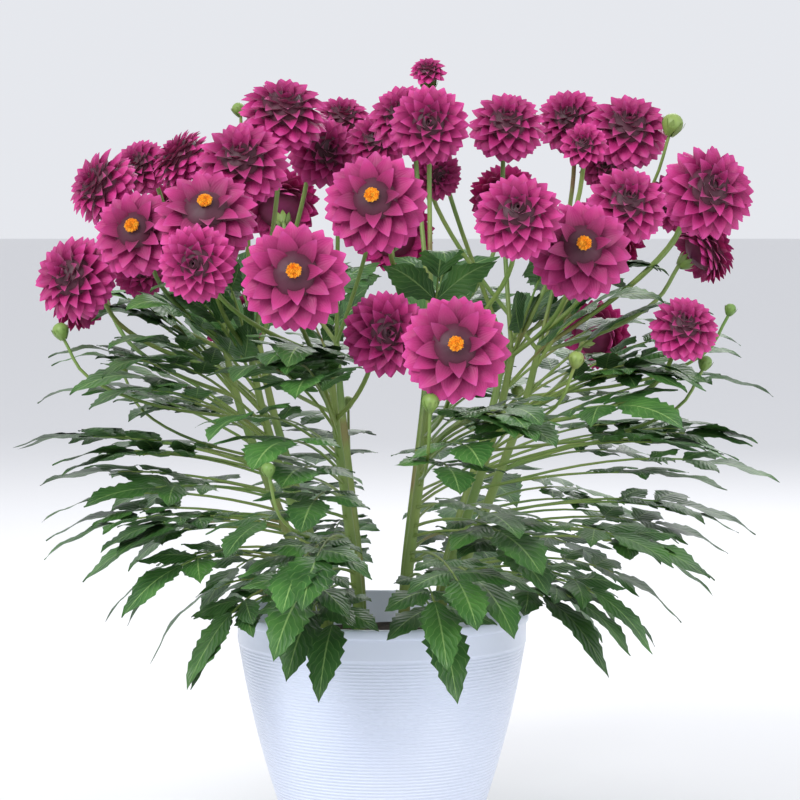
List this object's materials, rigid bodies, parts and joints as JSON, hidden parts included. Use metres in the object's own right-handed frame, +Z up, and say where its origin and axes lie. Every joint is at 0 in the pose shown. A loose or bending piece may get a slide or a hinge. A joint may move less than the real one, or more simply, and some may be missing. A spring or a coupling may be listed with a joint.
{
  "type": "potted dahlia",
  "caption": "Bushy flowering plant in a round ribbed pot of soil, with double magenta blooms, buds and toothed compound leaves on leafy stems.",
  "frame": {"origin": "middle of the pot's flat underside", "axes": "+Z up, the plant's front towards -Y"},
  "size_m": [0.6601, 0.6442, 0.7138],
  "materials": {
    "pot": "satin",
    "soil": "matte",
    "foliage": "satin",
    "petal": "matte",
    "eye": "matte"
  },
  "bodies": {
    "root": {"pot": "pot", "soil": "soil", "shoot_01": "foliage", "shoot_02": "foliage", "shoot_03": "foliage", "shoot_04": "foliage", "shoot_05": "foliage", "shoot_06": "foliage", "shoot_07": "foliage", "shoot_08": "foliage", "shoot_09": "foliage", "shoot_10": "foliage", "bloom_01": "petal", "bloom_02": "petal", "bloom_03": "petal", "bloom_04": "petal", "bloom_05": "petal", "bloom_06": "petal", "bloom_07": "petal", "bloom_08": "petal", "bloom_09": "petal", "bloom_10": "petal", "bloom_11": "petal", "bloom_12": "petal", "bloom_13": "petal", "bloom_14": "petal", "bloom_15": "petal", "bloom_16": "petal", "bloom_17": "petal", "bloom_18": "petal", "bloom_19": "petal", "bloom_20": "petal", "bloom_21": "petal", "bloom_22": "petal", "bloom_23": "petal", "bloom_24": "petal", "bloom_25": "petal", "bloom_26": "petal", "bloom_27": "petal", "bloom_28": "petal", "bloom_29": "petal", "bloom_30": "petal", "bloom_31": "petal", "bloom_32": "petal", "bloom_33": "petal", "bloom_34": "petal", "bloom_35": "petal", "bloom_36": "petal", "bloom_37": "petal", "bloom_38": "petal", "bloom_39": "petal", "bloom_40": "petal", "bloom_41": "petal", "bloom_42": "petal", "eye_12": "eye", "eye_13": "eye", "eye_16": "eye", "eye_17": "eye", "eye_19": "eye", "eye_21": "eye"}
  },
  "joints": []
}
